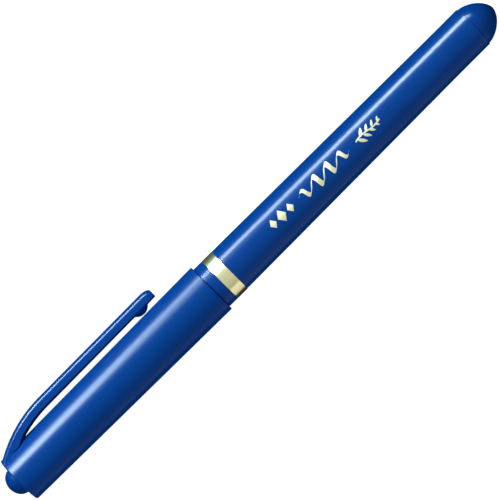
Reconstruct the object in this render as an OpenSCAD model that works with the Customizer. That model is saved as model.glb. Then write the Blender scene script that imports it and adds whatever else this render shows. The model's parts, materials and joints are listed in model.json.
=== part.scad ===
// Capped fibre-tip lettering marker, lying on the rim of its cap and on its clip.
// The pen's own axis runs along X: the cap's closed end is at low X and the tail at high X.
// Each piece is drawn at "station" x along the axis, measured from the tip of the cap's button,
// and lie() then sets it down on the plane z = 0 with the pen's middle over the origin.

/* [Pen] */
// Overall length with the cap on
pen_len = 136.4; // [133:0.2:142]

/* [Cap] */
// Length of the cap shell, without the button
cap_len = 54.4; // [53:0.2:57]
// Outside diameter at the cap's mouth
cap_mouth_d = 11.64; // [11.5:0.02:12.2]
// Outside diameter at the cap's closed end
cap_end_d = 10.5; // [10.3:0.05:10.8]

/* [Button] */
// Diameter of the domed button in the cap's closed end
button_d = 6; // [5:0.1:6.4]
// How far the button stands out of the cap
button_h = 2.55; // [2:0.05:3]

/* [Clip] */
// Width of the clip at its tip
clip_w = 4; // [3.6:0.1:4.4]
// Width of the clip where it grows out of the cap
clip_root_w = 6.6; // [5.6:0.1:7]
// Distance from the pen's axis to the clip's crown
clip_reach = 9.02; // [8.9:0.02:9.4]
// Height of the crown over the clip's side edges
clip_crown_h = 0.8; // [0.5:0.05:1]
// Thickness of the clip at its side faces
clip_side_h = 1.33; // [1.1:0.01:1.4]
// Length from the cap's closed end to the clip's tip
clip_len = 45.3; // [43:0.1:47]

/* [Ring and barrel] */
// Length of the collar that shows between the cap and the ring
collar_len = 2.3; // [1.8:0.1:3]
// Width of the trim ring
ring_w = 2.84; // [2:0.02:3.4]
// Diameter of the barrel behind the ring
barrel_d = 10.28; // [10.2:0.02:10.4]
// Diameter of the barrel's straight stretch at the tail
tail_d = 9.54; // [9.4:0.02:9.7]
// Length of that straight stretch
tail_len = 7.6; // [6:0.2:10]
// How far the tail plug's dome stands out
dome_h = 5.5; // [5:0.1:6.5]

/* [Nib] */
// Diameter of the fibre nib
nib_d = 2; // [1.8:0.1:2]
// Length of nib that shows in front of its holder
nib_show = 4.2; // [3.6:0.1:5]
// Thickness of the chisel edge
nib_edge = 0.35; // [0.25:0.05:0.6]

/* [Grip] */
// Number of grooves round the grip
grip_grooves = 9; // [5:1:11]
// Depth of each groove
groove_depth = 0.22; // [0.1:0.02:0.3]

/* [Hidden] */

seat_gap = 0.02;    // between pieces that are pressed together
turn_gap = 0.05;    // between pieces that turn or slide on each other
touch_gap = 0.15;   // between the clip and the cap, along the clip's underside

// Stations along the axis
cap_x0 = button_h;
cap_x1 = cap_x0 + cap_len;
collar_x0 = cap_x1 + turn_gap;
ring_x0 = cap_x1 + collar_len;
barrel_x0 = ring_x0 + ring_w;
barrel_x1 = pen_len - dome_h;
tail_x0 = barrel_x1 - tail_len;

// Cap
cap_mouth_r = cap_mouth_d / 2;
cap_end_r = cap_end_d / 2;
cap_taper = (cap_mouth_r - cap_end_r) / cap_len;
cap_rim = 0.3;               // rounding of the closed end
end_wall = 1.95;             // thickness of the closed end
liner_r = 4.2;               // outside of the inner cap
liner_bore = 3.4;
liner_x0 = cap_x0 + end_wall + 0.7;
liner_x1 = cap_x0 + 28.6;
liner_wall = 1.0;            // closed end of the inner cap
mouth_bore = 4.95;
mouth_bore_len = 9;
liner_end_gap = 0.9;         // between the inner cap's open end and the step in the cap's bore
step_bore = mouth_bore - 0.25;    // bore just past that step, which widens towards the mouth
step_len = 3;
stem_r = 1.48;               // the button's stem
stem_head_r = 1.9;
stem_head_len = 0.5;
recess_r = button_d / 2 + 0.55;   // shallow ring round the button
recess_depth = 0.4;

// Clip, as a side view: x along the pen, y away from its axis
root_arc_r = 28;             // radius of the crown's bend at the root
root_arc_x = cap_x0 + 14.65;    // where that bend runs out into the straight arm
arm_slope = 0.0075;
clip_x1 = cap_x0 + clip_len;
nose_len = 2.2;
nose_drop = 0.85;
knuckle_x = cap_x0 + 4.9;
knuckle_r = 0.75;
knuckle_w = 2.4;
knuckle_y = cap_r(knuckle_x) + touch_gap + knuckle_r;
knuckle_gap = 0.06;
boss_floor = 3.6;
boss_x0 = cap_x0 + 0.1;
boss_x1 = knuckle_x - 0.1;   // leaves room for the arm's corner as the clip opens
ball_r = 2.27;
ball_x = clip_x1 - 4.05;

// Section: the front of the pen that the cap covers
lip_x = cap_x0 + 19;         // front end of the section's cone
seal_x = liner_x1 - 2.5;     // start of the land that the inner cap seals on
seal_r = liner_bore - 0.04;
grip_x0 = liner_x1 + 0.9;
grip_x1 = cap_x1 - 7.4;
grip_r0 = 3.95;
grip_r1 = 4.55;
spigot_r = mouth_bore - 0.1;
bead_r = mouth_bore - 0.03;
bead_x = cap_x1 - 4.4;
collar_r = 5.16;
ring_seat_r = 4.5;
joint_r = 4.2;               // spigot that is pressed into the barrel
joint_len = 10;
chamber_r = 3.62;            // bore that holds the reservoir
throat_r = 2.4;
holder_r = 1.7;
lip_r = 1.95;

// Nib and ink
nib_r = nib_d / 2;
nib_tip = lip_x - 3.7 - nib_show;
holder_x0 = nib_tip + nib_show;
holder_x1 = cap_x0 + 28.5;
nib_x1 = cap_x0 + 38.5;
core_x0 = cap_x0 + 35.6;
core_r = 3.4;
film_t = 0.12;
plug_x0 = barrel_x1 - 9.1;
core_x1 = plug_x0 - 0.2;

// Barrel
barrel_r = barrel_d / 2;
tail_r = tail_d / 2;
barrel_bore = 3.95;
rib_r = 3.6;
rib_count = 4;
plug_lip_r = tail_r - 0.19;

// How the pen lies: the clip's side edge and the cap's rim share one plane
arm_stations = [for (x = [knuckle_x:0.5:clip_x1 - nose_len]) x];
lie_roll = min([for (x = arm_stations) let (edge_y = arm_y(x) - clip_crown_h, half = clip_half(x))
    asin(cap_mouth_r / norm([edge_y, half])) - atan2(half, edge_y)]);
side_reach = max([for (x = arm_stations) let (r = crown_r(clip_half(x)))
    (arm_y(x) - r) * cos(lie_roll) + r]);
axis_y = (cap_mouth_r - side_reach) / 2;

blue = [0.03, 0.2, 0.56];
deep_blue = [0.02, 0.13, 0.42];
gold = [0.83, 0.78, 0.5];
natural = [0.9, 0.91, 0.9];
ink = [0.05, 0.08, 0.3];

// Sets a piece that is drawn on the pen's axis down on the plane z = 0
module lie() {
    translate([-pen_len / 2, axis_y, cap_mouth_r]) children();
}

// The same, for pieces drawn with the clip towards +Y
module lie_rolled() {
    lie() rotate([-lie_roll, 0, 0]) children();
}

// A turned piece: the outline's points are [radius, station]
module turned(outline) {
    rotate([0, 90, 0]) rotate_extrude($fn = 96) polygon(outline);
}

module rod(r, x0, x1) {
    translate([x0, 0, 0]) rotate([0, 90, 0]) cylinder(r = r, h = x1 - x0, $fn = 64);
}

// Quarter of an ellipse from [r, x0] on the side to [0, x1] on the axis
function dome(r, x0, x1, steps = 16, fullness = 0.5) =
    [for (i = [0:steps]) let (t = i / steps)
        [r * pow(1 - t * t, fullness), x0 + (x1 - x0) * t]];

function cap_r(x) = cap_end_r + cap_taper * (x - cap_x0);

// ---- clip ----

function arm_y(x) = x < root_arc_x
    ? clip_reach - root_arc_r + sqrt(pow(root_arc_r, 2) - pow(root_arc_x - x, 2))
    : clip_reach + arm_slope * (x - root_arc_x);
function nose_share(x) = max(0, min(1, (x - clip_x1 + nose_len) / nose_len));
function clip_top(x) = arm_y(x) - nose_drop * (1 - sqrt(1 - pow(nose_share(x), 2)));
function clip_under(x) = max(arm_y(x) - clip_crown_h - clip_side_h, cap_r(x) + touch_gap);
function clip_half(x) = (clip_root_w + (clip_w - clip_root_w) * (x - cap_x0) / clip_len) / 2
    * (1 - 0.3 * pow(nose_share(x), 3));
function crown_r(half) = (pow(half, 2) + pow(clip_crown_h, 2)) / (2 * clip_crown_h);

// Outline across the clip at station x, as [x, y, z] points, from its underside's y to its crown
function clip_ring(x, under) = let (
    half = clip_half(x), r = crown_r(half), a = asin(half / r), steps = 10)
    concat(
        [[x, under, half], [x, under, -half]],
        [for (i = [0:steps]) let (b = -a + 2 * a * i / steps)
            [x, clip_top(x) - r + r * cos(b), r * sin(b)]]);

// A solid through rings of points, low x first, that all have the same count
module skin(rings) {
    n = len(rings[0]);
    last = (len(rings) - 1) * n;
    polyhedron(
        points = [for (ring = rings) each ring],
        faces = concat(
            [[for (i = [0:n - 1]) i]],
            [for (k = [0:n:last - n], i = [0:n - 1]) let (j = (i + 1) % n) each
                [[k + i, k + n + i, k + j], [k + j, k + n + i, k + n + j]]],
            [[for (i = [n - 1:-1:0]) last + i]]));
}

module knuckle(r, w) {
    translate([knuckle_x, knuckle_y, -w / 2]) cylinder(r = r, h = w, $fn = 48);
}

module clip() {
    bend = [for (i = [0:10]) knuckle_x + (root_arc_x + 1 - knuckle_x) * i / 10];
    straight = [for (i = [1:4]) root_arc_x + 1 + (clip_x1 - nose_len - root_arc_x - 1) * i / 4];
    nose = [for (i = [1:7]) clip_x1 - nose_len + nose_len * sin(90 * i / 7)];
    ball_y = cap_r(ball_x) + touch_gap + ball_r;
    ball_w = clip_w - 0.1;
    color(blue) lie_rolled() union() {
        skin([for (x = concat(bend, straight, nose)) clip_ring(x, clip_under(x))]);
        knuckle(knuckle_r, knuckle_w);
        intersection() {
            translate([ball_x, ball_y, 0]) sphere(r = ball_r, $fn = 64);
            translate([ball_x - ball_r, 0, -ball_w / 2])
                cube([2 * ball_r, clip_under(ball_x) + 0.5, ball_w]);
        }
    }
}

// ---- cap ----

module cap_wall() {
    step_x = liner_x1 + liner_end_gap;
    lead = 0.15;
    turned([
        [stem_r + seat_gap, cap_x0 + recess_depth],
        [recess_r, cap_x0 + recess_depth],
        [recess_r, cap_x0],
        [cap_end_r - cap_rim, cap_x0],
        [cap_end_r - cap_rim * (1 - cos(45)), cap_x0 + cap_rim * (1 - cos(45))],
        [cap_end_r, cap_x0 + cap_rim],
        [cap_mouth_r, cap_x1 - lead],
        [cap_mouth_r - lead, cap_x1],
        [mouth_bore + lead, cap_x1],
        [mouth_bore, cap_x1 - lead],
        [mouth_bore, cap_x1 - mouth_bore_len],
        [step_bore, step_x + step_len],
        [liner_r + turn_gap, step_x],
        [liner_r + turn_gap, cap_x0 + end_wall],
        [stem_r + seat_gap, cap_x0 + end_wall]]);
}

module cap_shell() {
    color(blue) lie_rolled() difference() {
        union() {
            cap_wall();
            difference() {
                skin([for (i = [0:6]) clip_ring(boss_x0 + (boss_x1 - boss_x0) * i / 6, boss_floor)]);
                rod(cap_end_r - 0.7, 0, knuckle_x);
            }
        }
        knuckle(knuckle_r + knuckle_gap, knuckle_w + 2 * knuckle_gap);
    }
}

module cap_button() {
    neck_x = cap_x0 + recess_depth - seat_gap;
    head_x = cap_x0 + end_wall + seat_gap;
    color(deep_blue) lie() turned(concat(
        dome(button_d / 2, cap_x0, 0),
        [[0, head_x + stem_head_len],
         [stem_r, head_x + stem_head_len],
         [stem_head_r, head_x],
         [stem_r, head_x],
         [stem_r, neck_x],
         [button_d / 2, neck_x]]));
}

module inner_cap() {
    lead = 0.3;
    color(natural) lie() turned([
        [0, liner_x0],
        [liner_r - lead, liner_x0],
        [liner_r, liner_x0 + lead],
        [liner_r, liner_x1 - lead],
        [liner_r - lead / 2, liner_x1],
        [liner_bore + lead, liner_x1],
        [liner_bore, liner_x1 - lead],
        [liner_bore, liner_x0 + liner_wall],
        [0, liner_x0 + liner_wall]]);
}

// ---- front of the pen ----

function grip_r_at(x) = grip_r0 + (grip_r1 - grip_r0) * (x - grip_x0) / (grip_x1 - grip_x0);

// One groove is a shallow trapezium in the grip's outline
function groove(x, w = 0.8, lead = 0.2) = [
    [grip_r_at(x), x],
    [grip_r_at(x) - groove_depth, x + lead],
    [grip_r_at(x) - groove_depth, x + w - lead],
    [grip_r_at(x + w), x + w]];

// Outside, from the lip that holds the nib's sleeve back to the start of the grip
function cone_outline(lead = 0.2) = [
    [holder_r + seat_gap, lip_x],
    [lip_r, lip_x],
    [lip_r + lead, lip_x + lead],
    [seal_r - lead, seal_x - 2 * lead],
    [seal_r, seal_x],
    [seal_r, liner_x1 + lead],
    [grip_r0 - lead, liner_x1 + 2 * lead],
    [grip_r0, grip_x0]];

// Outside, from the end of the grip to the spigot that is pressed into the barrel
function rear_outline(slope = 0.5, lead = 0.08) = [
    [grip_r1, grip_x1],
    [spigot_r, grip_x1 + slope],
    [spigot_r, bead_x - slope],
    [bead_r, bead_x],
    [spigot_r, bead_x + slope],
    [spigot_r, collar_x0],
    [collar_r - lead, collar_x0],
    [collar_r, collar_x0 + lead],
    [collar_r, ring_x0],
    [ring_seat_r, ring_x0],
    [ring_seat_r, barrel_x0 + seat_gap],
    [joint_r, barrel_x0 + seat_gap],
    [joint_r, barrel_x0 + joint_len - slope],
    [joint_r - slope / 2, barrel_x0 + joint_len]];

// Inside, from the reservoir's chamber forwards to the sleeve's bore
function chamber_outline(slope = 0.5) = [
    [chamber_r, barrel_x0 + joint_len],
    [chamber_r, core_x0 - slope],
    [throat_r, core_x0 - 3 * slope],
    [throat_r, holder_x1 + slope],
    [holder_r + seat_gap, holder_x1 + slope]];

module section() {
    margin = 2;
    pitch = (grip_x1 - grip_x0 - 1.5 * margin) / grip_grooves;
    color(blue) lie() turned(concat(
        cone_outline(),
        [for (i = [0:grip_grooves - 1]) each groove(grip_x0 + margin + i * pitch)],
        rear_outline(),
        chamber_outline()));
}

module nib_holder() {
    wall = 0.4;
    lead = 0.15;
    color(natural) lie() turned([
        [nib_r + seat_gap, holder_x0],
        [nib_r + wall - lead, holder_x0],
        [nib_r + wall, holder_x0 + lead],
        [lip_r, lip_x - wall],
        [lip_r, lip_x - seat_gap],
        [holder_r, lip_x - seat_gap],
        [holder_r, holder_x1 - wall],
        [holder_r - 2 * lead, holder_x1],
        [nib_r + seat_gap, holder_x1]]);
}

// Side view of the chisel: its two flats run out into a thin edge
module chisel_flats() {
    flat_len = 3.2;
    outside = nib_r + 0.1;
    rotate([90, 0, 0]) linear_extrude(height = 2 * nib_d, center = true) polygon([
        [nib_tip, -nib_edge / 2],
        [nib_tip + flat_len, -outside],
        [nib_x1, -outside],
        [nib_x1, outside],
        [nib_tip + flat_len, outside],
        [nib_tip, nib_edge / 2]]);
}

// Seen on its flat, the edge is cut on a slant
module edge_slant() {
    slant = 0.6;
    outside = nib_r + 0.1;
    linear_extrude(height = 2 * nib_d, center = true) polygon([
        [nib_tip, -outside],
        [nib_tip + slant, outside],
        [nib_x1, outside],
        [nib_x1, -outside]]);
}

module nib() {
    tip_lead = 0.15;
    rear_len = 1.5;
    color(ink) lie() intersection() {
        turned([
            [0, nib_tip],
            [nib_r - tip_lead, nib_tip],
            [nib_r, nib_tip + 2 * tip_lead],
            [nib_r, nib_x1 - rear_len],
            [nib_r / 2, nib_x1],
            [0, nib_x1]]);
        chisel_flats();
        edge_slant();
    }
}

module reservoir() {
    color(ink) lie() difference() {
        rod(core_r, core_x0, core_x1);
        rod(nib_r + seat_gap, core_x0 - 1, nib_x1 + 0.1);
    }
}

module reservoir_film() {
    color(natural) lie() difference() {
        rod(core_r + seat_gap + film_t, core_x0, core_x1);
        rod(core_r + seat_gap, core_x0 - 1, core_x1 + 1);
    }
}

// ---- barrel ----

module trim_ring() {
    lead = 0.06;
    ring_r = collar_r + 0.02;
    x0 = ring_x0 + seat_gap;
    x1 = barrel_x0 - seat_gap;
    color(gold) lie() turned([
        [ring_seat_r + seat_gap, x0],
        [ring_r - lead, x0],
        [ring_r, x0 + lead],
        [ring_r, x1 - lead],
        [ring_r - lead, x1],
        [ring_seat_r + seat_gap, x1]]);
}

module barrel() {
    socket_x = barrel_x0 + joint_len + 0.4;
    lead = 0.06;
    rib_x0 = barrel_x0 + 33;
    rib_w = 0.7;
    into_wall = 0.3;
    color(blue) lie() union() {
        turned([
            [joint_r + seat_gap, barrel_x0],
            [barrel_r - lead, barrel_x0],
            [barrel_r, barrel_x0 + lead],
            [tail_r, tail_x0],
            [tail_r, barrel_x1 - lead],
            [tail_r - lead, barrel_x1],
            [barrel_bore, barrel_x1],
            [barrel_bore, socket_x],
            [joint_r + seat_gap, socket_x]]);
        for (i = [0:rib_count - 1]) rotate([360 * i / rib_count, 0, 0])
            translate([rib_x0, rib_r, -rib_w / 2])
                cube([plug_x0 - 1 - rib_x0, barrel_bore + into_wall - rib_r, rib_w]);
    }
}

module tail_plug() {
    wall = 0.8;
    lead = 0.2;
    spigot = barrel_bore - seat_gap;
    hollow_x1 = barrel_x1 + 1.2;
    color(blue) lie() turned(concat(
        [[spigot - wall, plug_x0],
         [spigot - lead, plug_x0],
         [spigot, plug_x0 + 2 * lead],
         [spigot, barrel_x1 + seat_gap]],
        dome(plug_lip_r, barrel_x1 + seat_gap, pen_len, 20, 0.6),
        [[0, hollow_x1],
         [spigot - wall, barrel_x1]]));
}

barrel();
tail_plug();
trim_ring();
section();
nib_holder();
nib();
reservoir();
reservoir_film();
inner_cap();
cap_shell();
cap_button();
clip();
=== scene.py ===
import json
import math

import bmesh
import bpy
from mathutils import Matrix, Vector


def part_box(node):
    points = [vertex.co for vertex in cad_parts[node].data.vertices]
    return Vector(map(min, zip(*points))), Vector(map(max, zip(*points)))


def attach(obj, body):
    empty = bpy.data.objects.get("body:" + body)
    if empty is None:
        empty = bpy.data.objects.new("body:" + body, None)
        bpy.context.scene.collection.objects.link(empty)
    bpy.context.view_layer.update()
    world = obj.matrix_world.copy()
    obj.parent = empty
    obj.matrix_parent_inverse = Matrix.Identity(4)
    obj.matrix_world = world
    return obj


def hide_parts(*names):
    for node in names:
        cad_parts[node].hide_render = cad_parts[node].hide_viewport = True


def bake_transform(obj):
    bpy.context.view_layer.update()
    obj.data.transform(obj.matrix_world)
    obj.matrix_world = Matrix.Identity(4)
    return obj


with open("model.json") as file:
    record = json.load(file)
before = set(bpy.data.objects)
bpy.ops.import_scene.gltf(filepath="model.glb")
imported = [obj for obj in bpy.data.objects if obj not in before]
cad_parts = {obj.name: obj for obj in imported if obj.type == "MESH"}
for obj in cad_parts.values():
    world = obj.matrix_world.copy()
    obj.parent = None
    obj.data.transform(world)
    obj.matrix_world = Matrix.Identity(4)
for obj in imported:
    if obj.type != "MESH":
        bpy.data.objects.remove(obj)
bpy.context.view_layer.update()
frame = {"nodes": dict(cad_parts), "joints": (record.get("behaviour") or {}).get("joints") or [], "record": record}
scene = bpy.context.scene
mm = 0.001
turn = 2 * math.pi

# places are (x, y, z) in mm: x along the pen from its button's tip, y towards the clip, z across the clip
flexJoint = [joint for joint in frame["joints"] if joint["name"] == "clip_flex"][0]
across = Vector(flexJoint["axis"]).normalized()
outward = Vector((0, across.z, -across.y))     # from the pen's axis to the clip
lieRoll = math.atan2(outward.z, outward.y)
barrelLow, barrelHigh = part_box("barrel")
penStart = Vector((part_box("cap_button")[0].x,
                   (barrelLow.y + barrelHigh.y) / 2,
                   (barrelLow.z + barrelHigh.z) / 2))


def place(x, y, z):
    return penStart + Vector((x * mm, 0, 0)) + (outward * y + across * z) * mm


def ends(node):
    low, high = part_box(node)
    return (low.x - penStart.x) / mm, (high.x - penStart.x) / mm


def radiusOf(node):
    low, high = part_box(node)
    return (high.z - low.z) / 2 / mm


capStart, capEnd = ends("cap_shell")
linerStart, linerEnd = ends("inner_cap")
clipEnd = ends("clip")[1]
nibStart, nibEnd = ends("nib")
sleeveStart, sleeveEnd = ends("nib_holder")
sectionStart, sectionEnd = ends("section")
coreStart = ends("reservoir")[0]
ringStart, ringEnd = ends("trim_ring")
barrelStart, barrelEnd = ends("barrel")
plugStart, penEnd = ends("tail_plug")
tailPost = [mount for mount in frame["record"]["mounts"] if mount["name"] == "tail_post"][0]
tailRadius = tailPost["dims"]["r_mm"]
mouthRadius = (penStart.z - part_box("cap_shell")[0].z) / mm     # the pen lies on the rim of its cap
print("frame loaded, pen", round(penEnd, 1), "mm long")


def newObject(name, bm, material, sharp=35):
    mesh = bpy.data.meshes.new(name)
    bm.to_mesh(mesh)
    bm.free()
    mesh.shade_smooth()
    mesh.set_sharp_from_angle(angle=math.radians(sharp))
    mesh.materials.append(material)
    made = bpy.data.objects.new(name, mesh)
    scene.collection.objects.link(made)
    return made


def skinned(rings, closed):     # a surface through rings of points that all have the same count
    bm = bmesh.new()
    made = [[bm.verts.new(point) for point in ring] for ring in rings]
    pairs = list(zip(made, made[1:]))
    if closed:
        pairs.append((made[-1], made[0]))
    for first, second in pairs:
        for i in range(len(first)):
            j = (i + 1) % len(first)
            bm.faces.new((first[i], first[j], second[j], second[i]))
    bmesh.ops.remove_doubles(bm, verts=bm.verts, dist=0.0001 * mm)
    bmesh.ops.recalc_face_normals(bm, faces=bm.faces)
    return bm


def rounded(corners, closed=True, steps=5, most=0.45):     # corners are (x, r, how far back rounding starts)
    points = []
    for i, (x, r, soft) in enumerate(corners):
        here = Vector((x, r))
        if not soft or (not closed and i in (0, len(corners) - 1)):
            points.append(here)
            continue
        arms = [Vector(corners[k % len(corners)][:2]) - here for k in (i - 1, i + 1)]
        start, end = [here + arm.normalized() * min(soft, most * arm.length) for arm in arms]
        for k in range(steps + 1):
            t = k / steps
            points.append(start * (1 - t) ** 2 + here * 2 * t * (1 - t) + end * t * t)
    return points


def braced(points, closed=True, hold=0.12, pitch=2.5):     # extra points keep long faces true at their ends
    out = []
    for a, b in zip(points, points[1:] + points[:1]):
        out.append(a)
        span = (b - a).length
        if span > 4 * hold and (closed or a is not points[-1]):
            count = math.ceil((span - 2 * hold) / pitch)
            out += [a.lerp(b, (hold + (span - 2 * hold) * k / count) / span) for k in range(count + 1)]
    return out


def turned(name, corners, material, closed=True, segments=160):     # as if cut on a lathe
    rings = []
    for x, r in braced(rounded(corners, closed), closed):
        rings.append([place(x, r * math.cos(turn * k / segments), r * math.sin(turn * k / segments))
                      for k in range(segments)])
    return newObject(name, skinned(rings, closed), material)


def put(tree, kind, inputs=None, **settings):     # a new node; each input is a value or a socket
    made = tree.nodes.new(kind)
    for name, value in settings.items():
        setattr(made, name, value)
    for key, value in (inputs or {}).items():
        if isinstance(value, bpy.types.NodeSocket):
            tree.links.new(value, made.inputs[key])
        else:
            made.inputs[key].default_value = value
    return made


def maths(tree, operation, a, b=0.0, c=0.0):
    return put(tree, "ShaderNodeMath", {0: a, 1: b, 2: c}, operation=operation).outputs[0]


def newTree(name, kind, inputs, outputs):
    tree = bpy.data.node_groups.new(name, kind)
    for label, (socket, value) in inputs.items():
        made = tree.interface.new_socket(label, in_out="INPUT", socket_type="NodeSocket" + socket)
        if value is not None:
            made.default_value = value
    for label, socket in outputs.items():
        tree.interface.new_socket(label, in_out="OUTPUT", socket_type="NodeSocket" + socket)
    return tree, tree.nodes.new("NodeGroupInput").outputs, tree.nodes.new("NodeGroupOutput").inputs


# surface effects that several materials share

def makeMouldedGrain():     # a very fine orange peel, and slow cloudy changes along the moulding
    tree, given, wanted = newTree(
        "mouldedGrain", "ShaderNodeTree",
        {"Grain Size": ("Float", 0.25), "Cloud Size": ("Float", 9.0)},
        {"Height": "Float", "Cloud": "Float"})
    where = put(tree, "ShaderNodeTexCoord").outputs["Object"]
    grainScale = maths(tree, "DIVIDE", 1 / mm, given["Grain Size"])
    cloudScale = maths(tree, "DIVIDE", 1 / mm, given["Cloud Size"])
    grain = put(tree, "ShaderNodeTexNoise", {"Vector": where, "Scale": grainScale, "Detail": 3.0})
    cloud = put(tree, "ShaderNodeTexNoise", {"Vector": where, "Scale": cloudScale, "Detail": 2.0})
    tree.links.new(grain.outputs[0], wanted["Height"])
    tree.links.new(cloud.outputs[0], wanted["Cloud"])
    return tree


def makeEdgeWear():     # 1 on outer edges, broken up by noise
    tree, given, wanted = newTree(
        "edgeWear", "ShaderNodeTree",
        {"Amount": ("Float", 0.5), "Patch Size": ("Float", 1.5)},
        {"Mask": "Float"})
    where = put(tree, "ShaderNodeTexCoord").outputs["Object"]
    point = put(tree, "ShaderNodeNewGeometry").outputs["Pointiness"]
    edge = put(tree, "ShaderNodeMapRange", {"Value": point, "From Min": 0.52, "From Max": 0.62})
    scale = maths(tree, "DIVIDE", 1 / mm, given["Patch Size"])
    patch = put(tree, "ShaderNodeTexNoise", {"Vector": where, "Scale": scale, "Detail": 4.0})
    broken = put(tree, "ShaderNodeMapRange",
                 {"Value": patch.outputs[0], "From Min": 0.35, "From Max": 0.7})
    both = maths(tree, "MULTIPLY", edge.outputs[0], broken.outputs[0])
    tree.links.new(maths(tree, "MULTIPLY", both, given["Amount"]), wanted["Mask"])
    return tree


def makeBrushing():     # fine scratches that run round the pen, for metal
    tree, given, wanted = newTree(
        "brushing", "ShaderNodeTree",
        {"Line Width": ("Float", 0.05), "Length": ("Float", 30.0)},
        {"Height": "Float"})
    where = put(tree, "ShaderNodeTexCoord").outputs["Object"]
    thin = maths(tree, "DIVIDE", 1 / mm, given["Line Width"])
    slow = maths(tree, "DIVIDE", thin, given["Length"])
    stretch = put(tree, "ShaderNodeCombineXYZ", {"X": thin, "Y": slow, "Z": slow}).outputs[0]
    spot = put(tree, "ShaderNodeVectorMath", {0: where, 1: stretch}, operation="MULTIPLY").outputs[0]
    lines = put(tree, "ShaderNodeTexNoise", {"Vector": spot, "Scale": 1.0, "Detail": 2.0})
    tree.links.new(lines.outputs[0], wanted["Height"])
    return tree


mouldedGrain = makeMouldedGrain()
edgeWear = makeEdgeWear()
brushing = makeBrushing()


def placed(tree, group, values):
    made = put(tree, "ShaderNodeGroup", node_tree=group)
    for name, value in values.items():
        made.inputs[name].default_value = value
    return made.outputs


def newMaterial(name, values):     # values are set on the shader's own sockets
    material = bpy.data.materials.new(name)
    material.use_nodes = True
    shader = material.node_tree.nodes["Principled BSDF"]
    for socket, value in values.items():
        shader.inputs[socket].default_value = value
    return material, material.node_tree, shader


def bumped(tree, shader, height, depth):
    bump = put(tree, "ShaderNodeBump", {"Height": height, "Distance": depth * mm})
    tree.links.new(bump.outputs[0], shader.inputs["Normal"])


def ranged(tree, value, low, high):     # 0..1 to low..high
    return put(tree, "ShaderNodeMapRange", {"Value": value, "To Min": low, "To Max": high}).outputs[0]


def mixedColour(tree, share, first, second):
    return put(tree, "ShaderNodeMix", {0: share, 6: first, 7: second}, data_type="RGBA").outputs[2]


# sizes and depths of the finishes are in mm
moulded = {"coat": 1.0, "coatIor": 1.2, "roughSwing": 0.03, "cloudSize": 9.0, "wear": 0.5,
           "wearPatch": 1.2, "wornRough": 0.15}
blueDye = {"colour": (0.0004, 0.078, 0.43, 1), "shade": (0.0003, 0.068, 0.39, 1),
           "worn": (0.02, 0.12, 0.5, 1), "gloss": 0.0, "grainSize": 0.3}


def mouldedPlastic(name, own):
    look = {**moulded, **own}
    material, tree, shader = newMaterial(name, {
        "Specular IOR Level": look["gloss"], "Coat Weight": look["coat"], "Coat IOR": look["coatIor"],
        "Coat Roughness": look["rough"]})
    grain = placed(tree, mouldedGrain, {"Grain Size": look["grainSize"], "Cloud Size": look["cloudSize"]})
    wear = placed(tree, edgeWear, {"Amount": look["wear"], "Patch Size": look["wearPatch"]})
    body = mixedColour(tree, ranged(tree, grain["Cloud"], 0.0, 1.0), look["colour"], look["shade"])
    tree.links.new(mixedColour(tree, wear["Mask"], body, look["worn"]), shader.inputs["Base Color"])
    low, high = look["rough"] - look["roughSwing"], look["rough"] + look["roughSwing"]
    rubbed = maths(tree, "MULTIPLY", wear["Mask"], look["wornRough"])
    rough = maths(tree, "ADD", ranged(tree, grain["Cloud"], low, high), rubbed)
    tree.links.new(rough, shader.inputs["Roughness"])
    bumped(tree, shader, grain["Height"], look["grainDepth"])
    return material


bluePlastic = mouldedPlastic("bluePlastic", {**blueDye, "rough": 0.22, "grainDepth": 0.0004})
capPlastic = mouldedPlastic("capPlastic", {**blueDye, "coat": 0.7, "rough": 0.28, "grainDepth": 0.0012})
buttonPlastic = mouldedPlastic("buttonPlastic", {
    "colour": (0.0004, 0.062, 0.37, 1), "shade": (0.0003, 0.052, 0.33, 1),
    "worn": (0.02, 0.10, 0.45, 1), "gloss": 0.0, "coat": 0.35, "rough": 0.45,
    "grainSize": 0.25, "grainDepth": 0.002})
milkyPlastic = mouldedPlastic("milkyPlastic", {
    "colour": (0.78, 0.80, 0.79, 1), "shade": (0.70, 0.73, 0.73, 1),
    "worn": (0.85, 0.86, 0.85, 1), "gloss": 0.45, "rough": 0.38,
    "grainSize": 0.2, "grainDepth": 0.002, "wear": 0.3})
gilding = {"lineLength": 40.0, "cloudSize": 4.0, "roughSwing": 0.06}


def goldMetal(name, own):
    look = {**gilding, **own}
    material, tree, shader = newMaterial(name, {"Metallic": look["metal"]})
    lines = placed(tree, brushing, {"Line Width": look["lineWidth"], "Length": look["lineLength"]})
    grain = placed(tree, mouldedGrain, {"Cloud Size": look["cloudSize"]})
    body = mixedColour(tree, ranged(tree, grain["Cloud"], 0.0, 1.0), look["colour"], look["shade"])
    tree.links.new(body, shader.inputs["Base Color"])
    low, high = look["rough"] - look["roughSwing"], look["rough"] + look["roughSwing"]
    tree.links.new(ranged(tree, lines["Height"], low, high), shader.inputs["Roughness"])
    bumped(tree, shader, lines["Height"], look["depth"])
    return material


goldTrim = goldMetal("goldTrim", {
    "colour": (0.95, 0.92, 0.54, 1), "shade": (0.90, 0.88, 0.47, 1),
    "metal": 0.95, "rough": 0.22, "lineWidth": 0.05, "depth": 0.0012})
goldFoil = goldMetal("goldFoil", {
    "colour": (0.90, 0.88, 0.56, 1), "shade": (0.84, 0.82, 0.47, 1),
    "metal": 0.25, "rough": 0.42, "lineWidth": 0.1, "depth": 0.0006})


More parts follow.
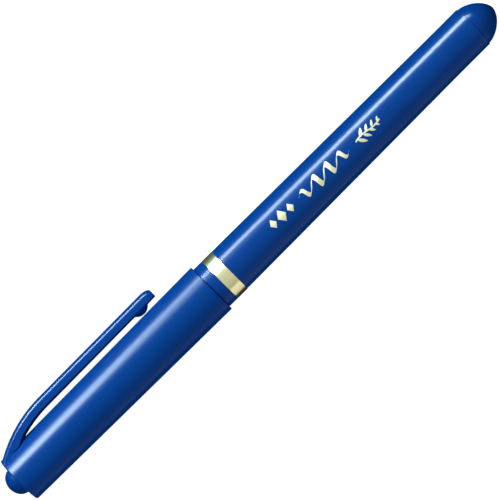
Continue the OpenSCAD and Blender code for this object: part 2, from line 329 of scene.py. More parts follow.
def fibre(name, look):     # bundled strands along the pen, soaked with ink
    material, tree, shader = newMaterial(name, {"Specular IOR Level": look["gloss"]})
    where = put(tree, "ShaderNodeTexCoord").outputs["Object"]
    fine, long = 1 / (look["strand"] * mm), 1 / (look["strand"] * look["stretch"] * mm)
    spot = put(tree, "ShaderNodeVectorMath", {0: where, 1: (long, fine, fine)},
               operation="MULTIPLY").outputs[0]
    strands = put(tree, "ShaderNodeTexNoise", {"Vector": spot, "Scale": 1.0, "Detail": 3.0})
    body = mixedColour(tree, strands.outputs[0], look["dark"], look["light"])
    tree.links.new(body, shader.inputs["Base Color"])
    tree.links.new(ranged(tree, strands.outputs[0], *look["rough"]), shader.inputs["Roughness"])
    bumped(tree, shader, strands.outputs[0], look["depth"])
    return material


nibFibre = fibre("nibFibre", {
    "dark": (0.004, 0.012, 0.10, 1), "light": (0.012, 0.035, 0.22, 1), "gloss": 0.3,
    "rough": (0.55, 0.85), "strand": 0.06, "stretch": 25, "depth": 0.012})
inkFibre = fibre("inkFibre", {
    "dark": (0.004, 0.010, 0.09, 1), "light": (0.02, 0.05, 0.30, 1), "gloss": 0.3,
    "rough": (0.55, 0.85), "strand": 0.12, "stretch": 25, "depth": 0.03})
print("materials made")

cap = {
    "endRadius": 5.25, "rim": 0.3, "endWall": 1.95, "stemHole": 1.5, "recessRadius": 3.55,
    "recessDepth": 0.4, "mouthBore": 4.95, "mouthLength": 9.0, "stepBore": 4.7, "stepGap": 0.9,
    "stepLength": 3.0, "linerBore": 4.25,
}
capMesh = {     # points round a ring, from the clip's middle past its corner and foot to the back
    "around": [14, 10, 16, 50], "cornerBefore": 0.04, "cornerAfter": 0.03, "lastRidge": 7,
    "lowestCorner": 4.1, "longSide": 10, "hold": 0.12, "fineStep": 0.15, "fineRings": 44,
    "coarseRings": 20, "braceFrom": 0.6,
}
clip = {
    "rootWidth": 6.6, "tipWidth": 4.0, "reach": 9.02, "crownHeight": 0.8, "sideHeight": 1.56,
    "bendRadius": 28.0, "bendEnd": capStart + 14.65, "slope": 0.0075, "noseLength": 2.2,
    "noseDrop": 0.85, "noseNarrowing": 0.3, "floor": 4.5, "rootDrop": 0.2, "rootDropStart": 9.5,
    "webStart": 9.7, "webSlope": 2, "webInset": 0.3, "belly": 0.45, "bevelRise": 0.33,
    "bevelSet": 0.15, "bevelTurn": math.radians(29), "skin": 0.02, "tuck": 0.05, "tuckLength": 2,
    "bladeStart": 3.2, "endRounding": 0.14,
}
ridge = {     # the part of the clip that is moulded on the cap, which ends inside the clip
    "flush": 5.6, "wedge": 5.9, "corner": 0.1, "crownCorner": 0.05, "sink": 0.02, "sinkStart": 4,
    "sinkLength": 1.6, "topSlope": 1.1, "sideSlope": 1.3, "widest": math.radians(75), "thinnest": 0.5,
}


def within(value, low=0, high=1):
    return max(low, min(high, value))


def capRadius(x):
    share = (x - capStart) / (capEnd - capStart)
    return cap["endRadius"] + (mouthRadius - cap["endRadius"]) * share


def clipTop(x):     # crown of the clip at its middle
    radius, bendEnd = clip["bendRadius"], clip["bendEnd"]
    if x < bendEnd:
        return clip["reach"] - radius + math.sqrt(radius ** 2 - (bendEnd - x) ** 2)
    return clip["reach"] + clip["slope"] * (x - bendEnd)


def clipHalf(x):
    share = (x - capStart) / (clipEnd - capStart)
    return (clip["rootWidth"] + (clip["tipWidth"] - clip["rootWidth"]) * share) / 2


def softMax(a, b, reach):
    h = max(reach - abs(a - b), 0) / reach
    return max(a, b) + h * h * reach / 4


def ridgeShape(x):     # crown and half width
    past = max(0, x - ridge["wedge"])
    sink = ridge["sink"] * within((x - ridge["sinkStart"]) / ridge["sinkLength"])
    return clipTop(x) - sink - ridge["topSlope"] * past, clipHalf(x) - sink - ridge["sideSlope"] * past


def capSurface(x, angle):     # distance from the axis, angle 0 being towards the clip
    crown, half = ridgeShape(x)
    height = clip["crownHeight"]
    bow = (half ** 2 + height ** 2) / (2 * height)
    middle = crown - bow
    angle = abs(angle)
    spread = bow ** 2 - (middle * math.sin(angle)) ** 2
    if half < ridge["thinnest"] or spread < 0 or angle > ridge["widest"]:
        return capRadius(x)
    top = middle * math.cos(angle) + math.sqrt(spread)
    side = half / max(math.sin(angle), 0.01)
    lean = math.pi / 2 - clip["bevelTurn"]
    bevel = (crown - height - clip["bevelSet"]) * math.cos(lean) + half * math.sin(lean)
    bevel /= max(math.cos(angle - lean), 0.01)
    body = -softMax(softMax(-top, -side, ridge["crownCorner"]), -bevel, ridge["corner"])
    return max(capRadius(x), body)


def capAngles(x):     # close together where the ridge has its corner and its foot
    x = within(x, capStart, capMesh["lastRidge"])
    crown, half = ridgeShape(x)
    corner = math.atan2(half, max(crown - clip["crownHeight"], capMesh["lowestCorner"]))
    foot = math.asin(half / capRadius(x))
    stops = [0, corner - capMesh["cornerBefore"], corner + capMesh["cornerAfter"], foot, math.pi]
    side = []
    for low, high, count in zip(stops, stops[1:], capMesh["around"]):
        side += [low + (high - low) * k / count for k in range(count)]
    return side + [math.pi] + [-angle for angle in reversed(side[1:])]


def makeCapTube():
    recess, wall = capStart + cap["recessDepth"], capStart + cap["endWall"]
    stepStart = linerEnd + cap["stepGap"]
    outline = rounded([
        (recess, cap["stemHole"], 0), (recess, cap["recessRadius"], 0.1),
        (capStart, cap["recessRadius"], 0.08), (capStart, cap["endRadius"], cap["rim"]),
        (capEnd, mouthRadius, 0.14), (capEnd, cap["mouthBore"], 0.2),
        (capEnd - cap["mouthLength"], cap["mouthBore"], 0.3),
        (stepStart + cap["stepLength"], cap["stepBore"], 0.3), (stepStart, cap["linerBore"], 0),
        (wall, cap["linerBore"], 0.2), (wall, cap["stemHole"], 0)])
    hold, coarseRings = capMesh["hold"], capMesh["coarseRings"]
    rings = []
    for point, after in zip(outline, outline[1:] + outline[:1]):
        steps = [point]
        outside = point.y > capRadius(point.x) - 0.02 and after.y > capRadius(after.x) - 0.02
        if outside and after.x - point.x > capMesh["longSide"]:
            fine = [point.x + hold + capMesh["fineStep"] * k for k in range(capMesh["fineRings"])]
            rest = after.x - hold - fine[-1]
            coarse = [fine[-1] + rest * k / coarseRings for k in range(1, coarseRings + 1)]
            steps += [Vector((x, capRadius(x))) for x in fine + coarse]
        elif (after - point).length > capMesh["braceFrom"]:
            steps = braced([point, after], closed=False)[:-1]
        for x, r in steps:
            swell = r > capRadius(x) - cap["rim"] - 0.01     # the bore keeps its own radius
            rings.append([(x, r + (capSurface(x, angle) - capRadius(x)) * swell, angle)
                          for angle in capAngles(x)])
    rings = [[place(x, r * math.cos(a), r * math.sin(a)) for x, r, a in ring] for ring in rings]
    return newObject("capTube", skinned(rings, True), capPlastic)


capTube = makeCapTube()
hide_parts("cap_shell")
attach(capTube, "cap")

button = {"stemRadius": 1.48, "barbRadius": 1.9, "barbLength": 0.5, "gap": 0.02, "edge": 0.06, "steps": 14}


def makeEndButton():
    radius, stem, barb = radiusOf("cap_button"), button["stemRadius"], button["barbRadius"]
    dome = []
    for k in range(button["steps"] + 1):
        a = turn / 4 * k / button["steps"]
        dome.append((capStart * (1 - math.cos(a)), radius * math.sin(a), 0))
    neck = capStart + cap["recessDepth"] - button["gap"]
    head = capStart + cap["endWall"] + button["gap"]
    headEnd = head + button["barbLength"]
    return turned("endButton", [
        *dome, (neck, radius, button["edge"]), (neck, stem, 0), (head, stem, 0), (head, barb, 0.1),
        (headEnd, stem, 0.1), (headEnd, 0, 0)], buttonPlastic, closed=False)


endButton = makeEndButton()
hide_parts("cap_button")
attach(endButton, "cap")

liner = {"outer": 4.2, "inner": 3.4, "endWall": 1}
innerCap = turned("innerCapLiner", [
    (linerStart, 0, 0), (linerStart, liner["outer"], 0.3), (linerEnd, liner["outer"], 0.15),
    (linerEnd, liner["inner"], 0.3), (linerStart + liner["endWall"], liner["inner"], 0.5),
    (linerStart + liner["endWall"], 0, 0)], milkyPlastic, closed=False)
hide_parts("inner_cap")
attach(innerCap, "inner_cap")
print("cap made")


def clipSection(x, inset=0.0):     # outline across the clip, from one lower corner round over the crown
    share = within((x - clipEnd + clip["noseLength"]) / clip["noseLength"])
    shrink = clip["skin"] + clip["tuck"] * within((ridge["flush"] - x) / clip["tuckLength"])
    top = clipTop(x) - clip["noseDrop"] * (1 - math.sqrt(1 - share ** 2)) - shrink
    half = clipHalf(x) * (1 - clip["noseNarrowing"] * share ** 3) - shrink
    height = clip["crownHeight"]
    drop = max(0, clip["rootDropStart"] - x) * clip["rootDrop"]
    under = max(clipTop(x) - height - clip["sideHeight"] - drop, clip["floor"])
    bow = (half ** 2 + height ** 2) / (2 * height)
    reach = math.asin(half / bow)
    crown = []
    for k in range(-10, 11):     # out of 12 steps a side, so it stops where the bevels begin
        crown.append((top - bow + bow * math.cos(reach * k / 12), bow * math.sin(reach * k / 12), 0))
    # the web fills the middle under the root
    web = min(max(0, clip["webStart"] - x) * clip["webSlope"], under - clip["floor"] + 0.02)
    belly = half * clip["belly"]
    webHalf = belly - clip["webInset"]
    edge = top - height - clip["bevelSet"]
    bevelTop = edge + clip["bevelRise"]
    bevelHalf = half - clip["bevelRise"] * math.tan(clip["bevelTurn"])
    outline = rounded([
        (under, -half, 0.12), (edge, -half, 0.06), (bevelTop, -bevelHalf, 0.06), *crown,
        (bevelTop, bevelHalf, 0.06), (edge, half, 0.06), (under, half, 0.12), (under, belly, 0.1),
        (under - web, webHalf, 0.1), (under - web, -webHalf, 0.1), (under, -belly, 0.1)], steps=4)
    middle = Vector((top - 1, 0))
    return [point + (middle - point).normalized() * inset for point in outline]


def makeClipBlade():
    start, bendEnd, noseStart = clip["bladeStart"], clip["bendEnd"], clipEnd - clip["noseLength"]
    stations = [start + (bendEnd - start) * k / 40 for k in range(40)]
    stations += [bendEnd + (noseStart - bendEnd) * k / 16 for k in range(16)]
    stations += [noseStart + clip["noseLength"] * math.sin(turn / 4 * k / 14) for k in range(14)]
    rings = [(x, clipSection(x)) for x in stations]
    soft = clip["endRounding"]
    for k in range(6):
        a = turn / 4 * k / 5
        inset = soft * (1 - math.cos(a))
        rings.append((clipEnd - soft + soft * math.sin(a), clipSection(clipEnd, inset)))
    rings.append((clipEnd, clipSection(clipEnd, 0.5)))
    count = len(rings[0][1])
    rings.insert(0, (start, [Vector((clip["floor"] + 0.2, 0))] * count))
    rings.append((clipEnd, [Vector((clipTop(clipEnd) - 1.4, 0))] * count))
    bm = skinned([[place(x, y, z) for y, z in ring] for x, ring in rings], False)
    return newObject("pocketClip", bm, bluePlastic)


ball = {"radius": 2.27, "back": 4.05, "half": 1.3, "flat": 0.3, "gap": 0.15, "sunk": 0.6,
        "steps": 12, "segments": 72}


def makeClipBall():
    x0, radius, half = clipEnd - ball["back"], ball["radius"], ball["half"]
    middle = capRadius(x0) + ball["gap"] + radius
    top = clipTop(x0) - clip["crownHeight"] - clip["sideHeight"] + ball["sunk"]
    profile = []
    for k in range(-ball["steps"], ball["steps"] + 1):
        a = turn / 4 * k / ball["steps"]
        profile.append((half * math.sin(a), radius - (radius - ball["flat"]) * (1 - math.cos(a))))
    rings = []
    for z, r in [(-half, 0), *profile, (half, 0)]:
        angles = [turn * k / ball["segments"] for k in range(ball["segments"])]
        rings.append([place(x0 + r * math.cos(a), min(middle + r * math.sin(a), top), z) for a in angles])
    return newObject("clipBall", skinned(rings, False), bluePlastic)


def joined(first, second):     # one closed surface round both
    cut = first.modifiers.new("join", "BOOLEAN")
    cut.operation = "UNION"
    cut.solver = "EXACT"
    cut.object = second
    mesh = bpy.data.meshes.new_from_object(first.evaluated_get(bpy.context.evaluated_depsgraph_get()))
    first.modifiers.remove(cut)
    mesh.name = first.name
    first.data = mesh
    bpy.data.objects.remove(second)
    mesh.shade_smooth()
    mesh.set_sharp_from_angle(angle=math.radians(35))
    return first


pocketClip = joined(makeClipBlade(), makeClipBall())
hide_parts("clip")
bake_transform(pocketClip)
print("clip made")

grip = {"start": linerEnd + 0.9, "end": capEnd - 7.4, "front": 3.95, "back": 4.55,
        "grooves": 9, "grooveDepth": 0.22, "grooveWidth": 0.8, "grooveSlope": 0.2,
        "firstGroove": 2, "plainEnd": 3}
section = {"nibBore": 1.72, "tip": 2.0, "cone": 3.16, "seal": 3.36, "sealBack": 2.5, "shoulder": 3.7,
           "land": 4.85, "bead": 4.92, "beadBack": 4.4, "beadHalf": 0.5, "ringSeat": 4.5,
           "spigot": 4.2, "spigotEnd": 3.95, "coreBore": 3.62, "neckBore": 2.4, "gap": 0.05}
collarStart, collarEnd = capEnd + section["gap"], ringStart - 0.02
collarRadius = radiusOf("section")
pitch = (grip["end"] - grip["start"] - grip["plainEnd"]) / grip["grooves"]


def gripRadius(x):
    share = (x - grip["start"]) / (grip["end"] - grip["start"])
    return grip["front"] + (grip["back"] - grip["front"]) * share


def makeSection():
    seal, bead = linerEnd - section["sealBack"], capEnd - section["beadBack"]
    width, depth, slope = grip["grooveWidth"], grip["grooveDepth"], grip["grooveSlope"]
    corners = [
        (sectionStart, section["nibBore"], 0), (sectionStart, section["tip"], 0.12),
        (seal - 0.4, section["cone"], 0.3), (seal, section["seal"], 0.15),
        (linerEnd + 0.2, section["seal"], 0.2), (linerEnd + 0.5, section["shoulder"], 0.15),
        (grip["start"], grip["front"], 0.25)]
    for k in range(grip["grooves"]):
        x = grip["start"] + grip["firstGroove"] + k * pitch
        corners += [(x, gripRadius(x), 0.08), (x + slope, gripRadius(x) - depth, 0.08),
                    (x + width - slope, gripRadius(x) - depth, 0.08),
                    (x + width, gripRadius(x + width), 0.08)]
    corners += [
        (grip["end"], grip["back"], 0.2), (grip["end"] + 0.5, section["land"], 0.25),
        (bead - section["beadHalf"], section["land"], 0.2), (bead, section["bead"], 0.3),
        (bead + section["beadHalf"], section["land"], 0.2), (collarStart, section["land"], 0.05),
        (collarStart, collarRadius, 0.09), (collarEnd, collarRadius, 0.05),
        (collarEnd, section["ringSeat"], 0), (ringEnd, section["ringSeat"], 0),
        (ringEnd, section["spigot"], 0), (sectionEnd - 0.5, section["spigot"], 0.1),
        (sectionEnd, section["spigotEnd"], 0.05), (sectionEnd, section["coreBore"], 0),
        (coreStart - 0.5, section["coreBore"], 0.3), (coreStart - 1.5, section["neckBore"], 0.3),
        (sleeveEnd + 0.5, section["neckBore"], 0.1), (sleeveEnd + 0.5, section["nibBore"], 0)]
    return turned("gripSection", corners, bluePlastic)


gripSection = makeSection()
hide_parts("section")
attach(gripSection, "barrel")

sleeve = {"bore": 1.02, "nose": 1.4, "flange": 1.95, "flangeLength": 0.45, "plug": 1.7, "gap": 0.02}
flangeEnd = sectionStart - sleeve["gap"]
nibSleeve = turned("nibSleeve", [
    (sleeveStart, sleeve["bore"], 0), (sleeveStart, sleeve["nose"], 0.15),
    (sectionStart - sleeve["flangeLength"], sleeve["flange"], 0.25), (flangeEnd, sleeve["flange"], 0.06),
    (flangeEnd, sleeve["plug"], 0), (sleeveEnd - 0.4, sleeve["plug"], 0.1),
    (sleeveEnd, sleeve["nose"], 0), (sleeveEnd, sleeve["bore"], 0)], milkyPlastic, segments=96)
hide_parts("nib_holder")
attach(nibSleeve, "barrel")

nib = {"radius": 1.0, "edge": 0.35, "flatLength": 3.2, "slant": 0.6, "slantLength": 4, "shoulder": 0.3,
       "squareness": 10, "tipSoft": 0.2, "segments": 72,
       "rings": [0, 0.03, 0.08, 0.2, 0.5, 1, 1.6, 2.2, 2.8, 3.2, 3.6, 4.2, 8, 14, 20, 26]}


def makeNib():     # its flats lie level when the pen lies on its clip
    count, power = nib["segments"], nib["squareness"]
    rings = []
    for x in [nibStart + step for step in nib["rings"]] + [nibEnd - 0.5, nibEnd]:
        back = x - nibStart
        thick = nib["edge"] / 2 + (nib["radius"] + nib["shoulder"]) * back / nib["flatLength"]
        thick *= 1 - 0.5 * max(0, 1 - back / nib["tipSoft"]) ** 2
        shape = nib["radius"] * min(1, 0.9 + back)
        ring = []
        for k in range(count):
            p, q = math.cos(turn * k / count), math.sin(turn * k / count)
            lean = nib["slant"] * (p + 1) / 2 * max(0, 1 - back / nib["slantLength"])
            q = q / (1 + abs(q / thick) ** power) ** (1 / power)
            ring.append(penStart + Vector(((x + lean) * mm, shape * p * mm, nib["radius"] * q * mm)))
        rings.append(ring)
    tip, tail = [sum(ring, Vector()) / count for ring in (rings[0], rings[-1])]
    rings = [[tip] * count, *rings, [tail] * count]
    return newObject("fibreNib", skinned(rings, False), nibFibre)


fibreNib = makeNib()
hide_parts("nib")
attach(fibreNib, "barrel")
print("front of the pen made")

trim = {"bore": 4.52, "radius": radiusOf("trim_ring"), "edge": 0.1}
trimBand = turned("trimBand", [
    (ringStart, trim["bore"], 0), (ringStart, trim["radius"], trim["edge"]),
    (ringEnd, trim["radius"], trim["edge"]), (ringEnd, trim["bore"], 0)], goldTrim)
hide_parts("trim_ring")
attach(trimBand, "barrel")

barrel = {"bore": 3.95, "socket": 4.22, "socketLength": 10.4, "straight": 7.6}
barrelRadius = radiusOf("barrel")
tailStart = barrelEnd - barrel["straight"]
socketEnd = barrelStart + barrel["socketLength"]
barrelTube = turned("barrelTube", [
    (barrelStart, barrel["socket"], 0), (barrelStart, barrelRadius, 0.09),
    (tailStart, tailRadius, 0.4), (barrelEnd, tailRadius, 0.1), (barrelEnd, barrel["bore"], 0.05),
    (socketEnd, barrel["bore"], 0.2), (socketEnd, barrel["socket"], 0.1)], bluePlastic)
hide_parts("barrel")
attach(barrelTube, "barrel")

tail = {"hollow": 3.13, "hollowDepth": 1.2, "spigot": 3.93, "gap": 0.02, "grooveEnd": 0.1,
        "grooveDepth": 0.1, "shoulder": 1.65, "roundness": 0.58, "steps": 26}


def makeTailDome():
    lip = radiusOf("tail_plug")
    grooveStart, start = barrelEnd + tail["gap"], barrelEnd + tail["grooveEnd"]
    groove = lip - tail["grooveDepth"]
    dome = []
    for k in range(tail["steps"] + 1):
        t = math.sin(turn / 4 * k / tail["steps"])
        r = lip * max(0, 1 - t ** tail["shoulder"]) ** tail["roundness"]
        dome.append((start + (penEnd - start) * t, r, 0))
    return turned("tailDome", [
        (plugStart, tail["hollow"], 0), (plugStart, tail["spigot"], 0.3), (grooveStart, tail["spigot"], 0),
        (grooveStart, groove, 0), (start, groove, 0), *dome,
        (barrelEnd + tail["hollowDepth"], 0, 0), (barrelEnd, tail["hollow"], 0.6)], bluePlastic)


tailDome = makeTailDome()
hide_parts("tail_plug")
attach(tailDome, "barrel")
print("barrel made")


def newGeometryTree(name, values):     # each value becomes an input of the same name
    inputs = {"Geometry": ("Geometry", None)}
    for label, value in values.items():
        inputs[label] = ("Int" if isinstance(value, int) else "Float", value)
    tree, given, wanted = newTree(name, "GeometryNodeTree", inputs, {"Geometry": "Geometry"})
    return tree, given, wanted["Geometry"]


def laidOnPen(tree, geometry, material, output):     # from mm along the pen to its place in the frame
    laid = put(tree, "GeometryNodeTransform", {
        "Geometry": geometry, "Translation": penStart, "Rotation": (lieRoll, 0, 0),
        "Scale": (mm, mm, mm)}).outputs[0]
    real = put(tree, "GeometryNodeRealizeInstances", {0: laid}).outputs[0]
    painted = put(tree, "GeometryNodeSetMaterial", {"Geometry": real, "Material": material}).outputs[0]
    tree.links.new(painted, output)


def grown(name, tree, values, sharp=35):     # the tree's result as a plain mesh
    host = bpy.data.objects.new("host", bpy.data.meshes.new("host"))
    scene.collection.objects.link(host)
    modifier = host.modifiers.new("grow", "NODES")
    modifier.node_group = tree
    for socket in tree.interface.items_tree:
        if socket.in_out == "INPUT" and socket.name in values:
            modifier[socket.identifier] = values[socket.name]
    mesh = bpy.data.meshes.new_from_object(host.evaluated_get(bpy.context.evaluated_depsgraph_get()))
    host.modifiers.remove(modifier)
    bpy.data.objects.remove(host)
    mesh.shade_smooth()
    mesh.set_sharp_from_angle(angle=math.radians(sharp))
    mesh.name = name
    made = bpy.data.objects.new(name, mesh)
    scene.collection.objects.link(made)
    return made


def xyz(tree, x=0.0, y=0.0, z=0.0):
    return put(tree, "ShaderNodeCombineXYZ", {"X": x, "Y": y, "Z": z}).outputs[0]


def moved(tree, geometry, position):
    return put(tree, "GeometryNodeSetPosition", {"Geometry": geometry, "Position": position}).outputs[0]


def repeated(tree, points, shape, **turnAndSize):
    kind = "GeometryNodeInstanceOnPoints"
    return put(tree, kind, {"Points": points, "Instance": shape, **turnAndSize}).outputs[0]


def row(tree, count, pitch, start=0.0):     # points along the pen, and each one's number
    points = put(tree, "GeometryNodeMeshLine", {
        "Count": count, "Start Location": xyz(tree, start), "Offset": xyz(tree, pitch)}).outputs[0]
    return points, tree.nodes.new("GeometryNodeInputIndex").outputs[0]


def spotOf(tree):
    position = tree.nodes.new("GeometryNodeInputPosition").outputs[0]
    return put(tree, "ShaderNodeSeparateXYZ", {0: position}).outputs


def slab(tree, steps):     # a thin box with its own u, v and h, each from 0 to 1
    box = put(tree, "GeometryNodeMeshCube", {"Size": (1, 1, 1), "Vertices X": steps}).outputs[0]
    spot = spotOf(tree)
    return [box] + [maths(tree, "ADD", spot[k], 0.5) for k in range(3)]


ornament = {     # sizes in mm; it begins at the station Start, and its parts' own starts count from there
    "Start": 73.6, "Turn": math.radians(90.5), "Foil": 0.02,
    "Lozenges": 3, "Lozenge Start": 1.1, "Lozenge Pitch": 2.35, "Lozenge Width": 2.1,
    "Lozenge Height": 2.8, "Lozenge Shrink": 0.25,
    "Wave Start": 8.3, "Wave Length": 14.0, "Waves": 4.0, "Wave Height": 1.3, "Wave Ends": 0.55,
    "Wave Lean": 0.35, "Nib Width": 1.15, "Nib Angle": math.radians(38),
    "Stem Start": 24.2, "Stem Length": 6.6, "Stem Width": 0.3, "Stem Bend": 0.22,
    "Leaves": 8, "Leaf Start": 24.8, "Leaf Pitch": 0.76, "Leaf Length": 2.1, "Leaf Width": 0.72,
    "Leaf Angle": 0.85, "Leaf Shrink": 0.07,
}


def makeLozenges(tree, given):     # in a row, the middle one largest
    points, index = row(tree, given["Lozenges"], given["Lozenge Pitch"])
    shape = put(tree, "GeometryNodeMeshCylinder", {"Vertices": 4, "Radius": 0.5, "Depth": 1.0}).outputs[0]
    shape = put(tree, "GeometryNodeTransform", {
        "Geometry": shape, "Translation": (0.0, 0.0, 0.5),
        "Scale": xyz(tree, given["Lozenge Width"], given["Lozenge Height"], 1.0)}).outputs[0]
    shape = put(tree, "GeometryNodeSubdivideMesh", {"Mesh": shape, "Level": 3}).outputs[0]
    half = maths(tree, "MULTIPLY", maths(tree, "SUBTRACT", given["Lozenges"], 1.0), 0.5)
    away = maths(tree, "ABSOLUTE", maths(tree, "SUBTRACT", index, half))
    size = maths(tree, "SUBTRACT", 1.0, maths(tree, "MULTIPLY", away, given["Lozenge Shrink"]))
    lozenges = repeated(tree, points, shape, Scale=xyz(tree, size, size, 1.0))
    start = xyz(tree, given["Lozenge Start"])
    return put(tree, "GeometryNodeTransform", {"Geometry": lozenges, "Translation": start}).outputs[0]


def makeWave(tree, given):     # drawn with a broad nib held at one angle
    box, u, v, h = slab(tree, 180)
    swell = maths(tree, "SINE", maths(tree, "MULTIPLY", u, math.pi))
    phase = maths(tree, "MULTIPLY", maths(tree, "MULTIPLY", u, given["Waves"]), turn)
    rise = maths(tree, "MULTIPLY", maths(tree, "SINE", phase), given["Wave Height"])
    more = maths(tree, "SUBTRACT", 1.0, given["Wave Ends"])
    rise = maths(tree, "MULTIPLY", rise, maths(tree, "MULTIPLY_ADD", swell, more, given["Wave Ends"]))
    press = maths(tree, "POWER", maths(tree, "ABSOLUTE", swell), 0.35)
    stroke = maths(tree, "MULTIPLY", maths(tree, "SUBTRACT", v, 0.5), given["Nib Width"])
    stroke = maths(tree, "MULTIPLY", stroke, press)
    strokeX = maths(tree, "MULTIPLY", stroke, maths(tree, "COSINE", given["Nib Angle"]))
    strokeY = maths(tree, "MULTIPLY", stroke, maths(tree, "SINE", given["Nib Angle"]))
    along = maths(tree, "MULTIPLY_ADD", u, given["Wave Length"], strokeX)
    along = maths(tree, "MULTIPLY_ADD", rise, given["Wave Lean"], along)
    along = maths(tree, "ADD", along, given["Wave Start"])
    return moved(tree, box, xyz(tree, along, maths(tree, "ADD", rise, strokeY), h))


def makeStem(tree, given):
    box, u, v, h = slab(tree, 24)
    wide = maths(tree, "MULTIPLY", maths(tree, "SUBTRACT", v, 0.5), given["Stem Width"])
    bend = maths(tree, "MULTIPLY", maths(tree, "SINE", maths(tree, "MULTIPLY", u, turn)), given["Stem Bend"])
    along = maths(tree, "MULTIPLY_ADD", u, given["Stem Length"], given["Stem Start"])
    return moved(tree, box, xyz(tree, along, maths(tree, "ADD", bend, wide), h))


def makeLeaves(tree, given):     # on either side of the stem in turn, smaller towards its tip
    box, u, v, h = slab(tree, 14)
    swing = maths(tree, "MULTIPLY", maths(tree, "POWER", u, 0.8), math.pi)
    belly = maths(tree, "POWER", maths(tree, "ABSOLUTE", maths(tree, "SINE", swing)), 0.8)
    belly = maths(tree, "MULTIPLY", belly, given["Leaf Width"])
    wide = maths(tree, "MULTIPLY", maths(tree, "SUBTRACT", v, 0.5), belly)
    leaf = moved(tree, box, xyz(tree, maths(tree, "MULTIPLY", u, given["Leaf Length"]), wide, h))
    points, index = row(tree, given["Leaves"], given["Leaf Pitch"], given["Leaf Start"])
    side = maths(tree, "MULTIPLY_ADD", maths(tree, "MODULO", index, 2.0), 2.0, -1.0)
    size = maths(tree, "SUBTRACT", 1.0, maths(tree, "MULTIPLY", index, given["Leaf Shrink"]))
    lean = xyz(tree, z=maths(tree, "MULTIPLY", side, given["Leaf Angle"]))
    return repeated(tree, points, leaf, Rotation=lean, Scale=xyz(tree, size, size, 1.0))


def makeOrnamentTree(values):
    tree, given, output = newGeometryTree("barrelOrnament", values)
    every = tree.nodes.new("GeometryNodeJoinGeometry")
    for make in (makeLozenges, makeWave, makeStem, makeLeaves):
        tree.links.new(make(tree, given), every.inputs[0])
    flat = put(tree, "GeometryNodeRealizeInstances", {0: every.outputs[0]}).outputs[0]

    # wrapped round the barrel, a third of the foil's thickness being under the surface
    spot = spotOf(tree)
    x = maths(tree, "ADD", spot[0], given["Start"])
    past = maths(tree, "SUBTRACT", x, barrelStart)
    surface = maths(tree, "MULTIPLY_ADD", past, given["Taper"], given["Radius"])
    r = maths(tree, "MULTIPLY_ADD", spot[2], maths(tree, "MULTIPLY", given["Foil"], 1.5), surface)
    r = maths(tree, "MULTIPLY_ADD", given["Foil"], -0.5, r)
    angle = maths(tree, "SUBTRACT", given["Turn"], maths(tree, "DIVIDE", spot[1], surface))
    wrapped = moved(tree, flat, xyz(tree, x, maths(tree, "MULTIPLY", r, maths(tree, "COSINE", angle)),
                                    maths(tree, "MULTIPLY", r, maths(tree, "SINE", angle))))
    laidOnPen(tree, wrapped, goldFoil, output)
    return tree


barrelFit = {"Radius": barrelRadius, "Taper": (tailRadius - barrelRadius) / (tailStart - barrelStart)}
foilValues = {**ornament, **barrelFit}
barrelOrnament = grown("barrelOrnament", makeOrnamentTree(foilValues), foilValues)
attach(barrelOrnament, "barrel")
print("ornament printed")

gripRibs = {     # they stand on the lands between the grip's grooves
    "Ribs": 30, "Rows": grip["grooves"] - 1, "Rib Length": 0.62, "Rib Width": 0.34, "Rib Height": 0.1,
}


def makeGripTree(values):
    tree, given, output = newGeometryTree("gripRibs", values)
    points, index = row(tree, maths(tree, "MULTIPLY", given["Ribs"], given["Rows"]), 0.0)
    line = maths(tree, "FLOOR", maths(tree, "DIVIDE", maths(tree, "ADD", index, 0.5), given["Ribs"]))
    step = maths(tree, "DIVIDE", maths(tree, "MULTIPLY_ADD", line, 0.5, index), given["Ribs"])
    angle = maths(tree, "MULTIPLY", step, turn)     # every second row is half a rib further round
    along = maths(tree, "MULTIPLY", line, given["Pitch"])
    r = maths(tree, "MULTIPLY_ADD", along, given["Taper"], given["Radius"])
    points = moved(tree, points, xyz(tree, maths(tree, "ADD", along, given["Start"]),
                                     maths(tree, "MULTIPLY", r, maths(tree, "COSINE", angle)),
                                     maths(tree, "MULTIPLY", r, maths(tree, "SINE", angle))))
    rib = put(tree, "GeometryNodeMeshUVSphere", {"Segments": 8, "Rings": 5, "Radius": 0.5}).outputs[0]
    tall = maths(tree, "MULTIPLY", given["Rib Height"], 2.0)
    rib = put(tree, "GeometryNodeTransform", {
        "Geometry": rib, "Scale": xyz(tree, given["Rib Length"], given["Rib Width"], tall)}).outputs[0]
    lean = xyz(tree, maths(tree, "SUBTRACT", angle, math.pi / 2))
    laidOnPen(tree, repeated(tree, points, rib, Rotation=lean), bluePlastic, output)
    return tree


firstLand = grip["start"] + grip["firstGroove"] + (grip["grooveWidth"] + pitch) / 2
gripFit = {"Start": firstLand, "Pitch": pitch, "Radius": gripRadius(firstLand),
           "Taper": (grip["back"] - grip["front"]) / (grip["end"] - grip["start"])}
ribValues = {**gripRibs, **gripFit}
ribs = grown("gripRibs", makeGripTree(ribValues), ribValues, sharp=60)
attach(ribs, "barrel")
print("grip ribs made")

for node, material in {"reservoir": inkFibre, "reservoir_film": milkyPlastic}.items():
    for slot in frame["nodes"][node].material_slots:
        slot.material = material

view = {"side": 93.8, "station": 67.77, "offset": -0.05, "roll": 44.95, "distance": 0.8, "lens": 288,
        "nearest": 0.01}
side = math.radians(view["side"])     # from the clip's direction towards the viewer
toView = outward * math.cos(side) + across * math.sin(side)
upSide = Vector((0, toView.z, -toView.y))     # across the picture, on the clip's side of the pen
along = Vector((1, 0, 0))


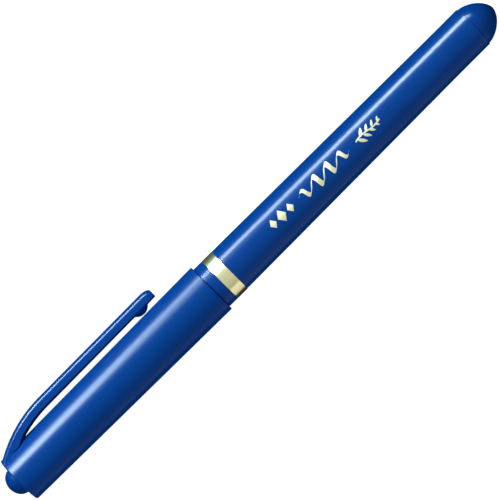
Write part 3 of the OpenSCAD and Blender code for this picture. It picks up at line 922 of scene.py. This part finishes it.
def makeCamera():
    roll = math.radians(view["roll"])
    right = along * math.cos(roll) - upSide * math.sin(roll)
    up = along * math.sin(roll) + upSide * math.cos(roll)
    target = place(view["station"], 0, 0) + upSide * view["offset"] * mm
    camera = bpy.data.objects.new("camera", bpy.data.cameras.new("camera"))
    camera.data.lens = view["lens"]
    camera.data.clip_start = view["nearest"]
    turning = Matrix((right, up, toView)).transposed().to_4x4()
    camera.matrix_world = Matrix.Translation(target + toView * view["distance"]) @ turning
    scene.collection.objects.link(camera)
    scene.camera = camera


lamps = {     # degrees from the view, then distance, length, width and shift in m, power, colour and use
    "keyStrip": (64.5, 0.45, 0.30, 0.12, 0.01, 8.8, (0.60, 0.84, 0.94), "gloss"),
    "keyCapEnd": (51, 0.45, 0.07, 0.14, -0.12, 9.4, (0.64, 0.88, 0.97), "gloss"),
    "keyTail": (61, 0.45, 0.26, 0.09, 0.185, 4.5, (0.61, 0.90, 0.96), "gloss"),
    "mainSoft": (53, 0.7, 0.4, 0.3, -0.2, 4.5, (1.0, 1.0, 1.0), "body"),
    "backSoft": (-100, 0.7, 0.5, 0.3, -0.2, 1.05, (1.0, 1.0, 1.0), "body"),
    "backSheen": (-92, 0.5, 0.5, 0.45, 0.0, 0.45, (1.0, 0.95, 0.95), "gloss"),
}


def makeLamp(name, angle, distance, length, width, shift, power, colour, use):
    lamp = bpy.data.lights.new(name, "AREA")
    lamp.shape = "RECTANGLE"
    lamp.size, lamp.size_y = length, width
    lamp.energy, lamp.color = power, colour
    made = bpy.data.objects.new(name, lamp)
    a = math.radians(angle)
    toLamp = toView * math.cos(a) + upSide * math.sin(a)
    turning = Matrix((along, toLamp.cross(along), toLamp)).transposed().to_4x4()
    centre = place(penEnd / 2 + shift / mm, 0, 0)
    made.matrix_world = Matrix.Translation(centre + toLamp * distance) @ turning
    made.visible_camera = False
    made.visible_diffuse = use == "body"
    made.visible_glossy = use == "gloss"
    scene.collection.objects.link(made)


room = {     # brightness by how far a direction faces the viewer's side, from -1 to 1
    "lean": -0.2, "darkBelow": -0.35, "halfLitAt": 0.2, "dark": 0.005, "sides": 0.2, "front": 0.4,
    "onBodies": 0.5, "seen": 1.0,
}


def makeWorld():     # dark below, so that edges stay dark
    world = bpy.data.worlds.new("studio")
    world.use_nodes = True
    tree = world.node_tree
    where = put(tree, "ShaderNodeTexCoord").outputs["Generated"]
    leaning = (toView + upSide * room["lean"]).normalized()
    facing = put(tree, "ShaderNodeVectorMath", {0: where, 1: leaning},
                 operation="DOT_PRODUCT").outputs["Value"]
    sides = put(tree, "ShaderNodeMapRange", {
        "Value": facing, "From Min": room["darkBelow"], "From Max": room["halfLitAt"],
        "To Min": room["dark"], "To Max": room["sides"]}, interpolation_type="SMOOTHSTEP").outputs[0]
    front = put(tree, "ShaderNodeMapRange", {
        "Value": facing, "From Min": room["halfLitAt"], "To Max": room["front"]}).outputs[0]
    opening = maths(tree, "ADD", sides, front)
    path = put(tree, "ShaderNodeLightPath").outputs
    soft = maths(tree, "MULTIPLY", opening, room["onBodies"])
    lit = put(tree, "ShaderNodeMix", {0: path["Is Diffuse Ray"], 2: opening, 3: soft}).outputs[0]
    level = put(tree, "ShaderNodeMix", {0: path["Is Camera Ray"], 2: lit, 3: room["seen"]}).outputs[0]
    shine = tree.nodes["Background"]
    tree.links.new(level, shine.inputs["Strength"])
    shine.inputs["Color"].default_value = (1, 1, 1, 1)
    scene.world = world


floorLook = {"Base Color": (0.3, 0.3, 0.3, 1), "Roughness": 0.9, "Specular IOR Level": 0.1,
             "Emission Color": (1, 1, 1, 1), "Emission Strength": 0.97}


def makeFloor():
    bm = bmesh.new()
    bmesh.ops.create_grid(bm, x_segments=8, y_segments=8, size=1.5)
    floor = newObject("floor", bm, newMaterial("paleFloor", floorLook)[0])
    floor.visible_glossy = False
    floor.visible_diffuse = False


makeCamera()
for name, values in lamps.items():
    makeLamp(name, *values)
makeWorld()
makeFloor()
scene.view_settings.view_transform = "Standard"
print("stage made")
